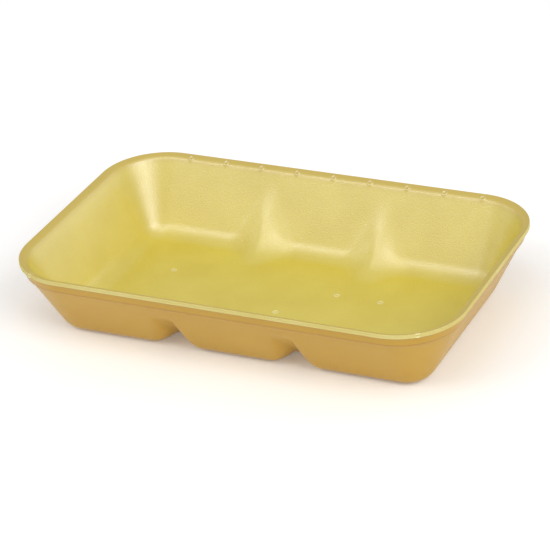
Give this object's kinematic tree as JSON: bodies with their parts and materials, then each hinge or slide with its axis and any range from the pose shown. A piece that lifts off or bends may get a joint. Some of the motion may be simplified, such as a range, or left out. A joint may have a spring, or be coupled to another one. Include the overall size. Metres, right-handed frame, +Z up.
{
  "type": "foam food tray",
  "caption": "Deep rounded-rectangular foam tray with sloping walls, a short flared rim and stiffening darts in its long sides, for packing meat or poultry.",
  "frame": {"origin": "the middle of the tray's base, on the surface that it stands on", "axes": "+Z up, +X along the tray's length, +Y towards one long side"},
  "size_m": [0.25, 0.156, 0.0434],
  "materials": {
    "foam": "satin"
  },
  "bodies": {
    "root": {"tray": "foam"}
  },
  "joints": []
}
